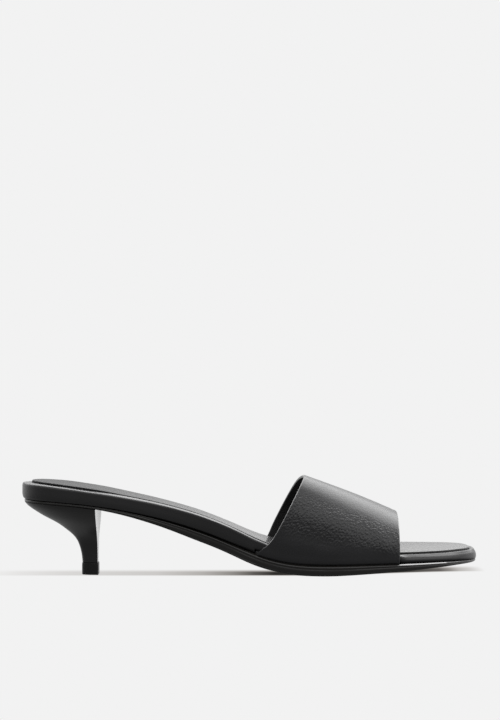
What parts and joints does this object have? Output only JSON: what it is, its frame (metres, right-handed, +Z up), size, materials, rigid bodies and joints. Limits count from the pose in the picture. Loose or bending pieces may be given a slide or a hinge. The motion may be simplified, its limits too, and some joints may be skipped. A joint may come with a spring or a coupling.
{
  "type": "heeled sandal",
  "caption": "Left slip-on sandal with one wide strap over the forefoot, a wrapped footbed, a thin sole and a low pin heel.",
  "frame": {"origin": "on the floor, under the centre of the shoe's box", "axes": "+X towards the toe, +Y towards the outer (little toe) side of this left shoe, +Z up"},
  "size_m": [0.2429, 0.081, 0.0537],
  "materials": {
    "outsole": "black synthetic sole, semi-gloss painted edge",
    "footbed": "smooth black leather wrap, soft sheen",
    "insole_sock": "smooth black lining leather, satin",
    "vamp_strap": "black leather with a fine pebbled grain, soft sheen",
    "heel_block": "black leather cover, semi-gloss",
    "heel_tip": "hard black rubber, satin"
  },
  "bodies": {
    "root": {"outsole": "outsole", "footbed": "footbed", "insole_sock": "insole_sock", "vamp_strap": "vamp_strap", "heel_block": "heel_block", "heel_tip": "heel_tip"}
  },
  "joints": []
}
